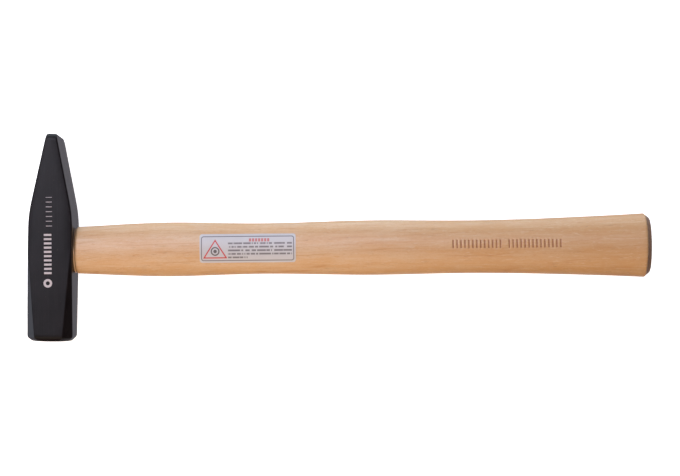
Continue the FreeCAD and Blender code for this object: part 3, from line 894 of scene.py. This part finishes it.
def floor_material():
    s = Shader("studio_white")
    tone = s.noise((60, 60, 60), detail=2)
    colour = s.mix(tone, (0.88, 0.88, 0.88), (0.9, 0.9, 0.9))
    s.set(Base_Color=colour, Roughness=0.9, Specular_IOR_Level=0.2, Emission_Color=(1.0, 1.0, 1.0),
          Emission_Strength=1.0)
    return s.material


def paint(obj, material):
    obj.data.materials.clear()
    obj.data.materials.append(material)


# Object -------------------------------------------------------------------------------------------

head = make_head()
paint(head, head_material())
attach(head, "root")
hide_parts("hammer_head")

handle = make_handle()
paint(handle, handle_material())
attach(handle, "root")
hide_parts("handle")

label = make_label()
paint(label, label_material())
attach(label, "root")
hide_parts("label")

steel = wedge_steel_material()
for node_name in ("steel_wedge_1", "steel_wedge_2"):
    paint(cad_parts[node_name], steel)
paint(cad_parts["wood_wedge"], wedge_wood_material())


# Studio -------------------------------------------------------------------------------------------

# In metres: the floor's flat part, its bend and its wall, and the gap that keeps it off the hammer.
FLOOR_FLAT = 2.6
FLOOR_BEND = 1.4
WALL_HEIGHT = 4.0
FLOOR_GAP = 0.00005

# In metres: the place on the handle that every light faces.
LIGHT_TARGET = (0.12, 0.0, 0.01)

# In millimetres: the place under the camera, its distance, how wide it sees at the hammer, and its sensor.
VIEW_MIDDLE = (146.75, 5.02)
VIEW_DISTANCE = 784.5
VIEW_WIDTH = 348.2
VIEW_TURN = math.radians(-0.52)
SENSOR = 36.0


def make_floor():
    """A round white sweep: a floor that curves up into a wall well clear of the lights."""
    profile = [(0.5, 0.0), (1.2, 0.0), (FLOOR_FLAT, 0.0)]
    for step in range(1, 13):
        angle = math.pi / 2 * step / 12
        profile.append((FLOOR_FLAT + FLOOR_BEND * math.sin(angle), FLOOR_BEND * (1 - math.cos(angle))))
    profile.append((FLOOR_FLAT + FLOOR_BEND, WALL_HEIGHT))
    count = 96
    vertices = [(0.0, 0.0, -FLOOR_GAP)]
    for out, up in profile:
        for i in range(count):
            turn = 2 * math.pi * i / count
            vertices.append((out * math.cos(turn), out * math.sin(turn), up - FLOOR_GAP))
    faces = [(0, 1 + i, 1 + (i + 1) % count) for i in range(count)]
    for ring in range(len(profile) - 1):
        first = 1 + ring * count
        for i in range(count):
            j = (i + 1) % count
            faces.append((first + i, first + count + i, first + count + j, first + j))
    mesh = bpy.data.meshes.new("studio_floor")
    mesh.from_pydata(vertices, [], faces)
    mesh.shade_smooth()
    floor = bpy.data.objects.new("studio_floor", mesh)
    bpy.context.scene.collection.objects.link(floor)
    paint(floor, floor_material())
    floor.visible_glossy = False
    floor.visible_diffuse = False
    floor.visible_shadow = False


def make_light(name, place, size, radiance, colour, in_reflections=True):
    """A soft rectangular light that faces the handle, as bright per area as radiance says."""
    data = bpy.data.lights.new(name, "AREA")
    data.shape = "RECTANGLE"
    data.size, data.size_y = size
    data.energy = radiance * math.pi * size[0] * size[1]
    data.color = colour
    light = bpy.data.objects.new(name, data)
    bpy.context.scene.collection.objects.link(light)
    light.location = place
    light.visible_camera = False
    light.visible_glossy = in_reflections
    aim = Vector(LIGHT_TARGET) - Vector(place)
    light.rotation_euler = aim.to_track_quat("-Z", "Y").to_euler()


def make_world():
    """Air that is nearly black, with a soft glow that comes only from below."""
    world = bpy.data.worlds.new("studio_air")
    world.use_nodes = True
    air = world.node_tree
    direction = air.nodes.new("ShaderNodeTexCoord")
    height = air.nodes.new("ShaderNodeSeparateXYZ")
    from_below = air.nodes.new("ShaderNodeMapRange")
    from_below.interpolation_type = "SMOOTHSTEP"
    downward, sideways = -0.8, -0.25
    glow, dark = 0.57, 0.04
    for socket, number in zip(list(from_below.inputs)[1:5], (downward, sideways, glow, dark)):
        socket.default_value = number
    air.links.new(direction.outputs["Generated"], height.inputs[0])
    air.links.new(height.outputs[2], from_below.inputs[0])
    air.links.new(from_below.outputs[0], air.nodes["Background"].inputs[1])
    air.nodes["Background"].inputs[0].default_value = (0.94, 0.9, 1.0, 1.0)
    bpy.context.scene.world = world


def make_camera():
    """A camera straight above the middle of the hammer, looking down."""
    data = bpy.data.cameras.new("studio_camera")
    data.sensor_width = SENSOR
    data.lens = SENSOR * VIEW_DISTANCE / VIEW_WIDTH
    data.clip_start = 0.01
    camera = bpy.data.objects.new("studio_camera", data)
    bpy.context.scene.collection.objects.link(camera)
    camera.location = (VIEW_MIDDLE[0] * MM, VIEW_MIDDLE[1] * MM, (MID + VIEW_DISTANCE) * MM)
    camera.rotation_euler = (0.0, 0.0, VIEW_TURN)
    bpy.context.scene.camera = camera


make_floor()
make_light("softbox_above", (-0.3, 0.62, 1.4), (1.3, 1.2), 4.05, (0.85, 0.85, 1.0))
make_light("softbox_behind_peen", (0.15, 1.25, -0.05), (2.4, 1.2), 2.1, (0.8, 0.92, 1.0))
make_light("softbox_beyond_head", (-1.25, 0.0, -0.15), (2.2, 1.2), 1.75, (0.8, 0.86, 1.0))
make_light("softbox_before_face", (0.05, -0.9, 0.95), (2.0, 0.9), 1.1, (1.0, 0.8, 0.55))
make_light("softbox_low_before", (0.08, -0.33, 0.14), (0.3, 0.18), 4.1, (1.0, 0.71, 0.41), False)
make_world()
make_camera()
bpy.context.scene.view_settings.view_transform = "Standard"
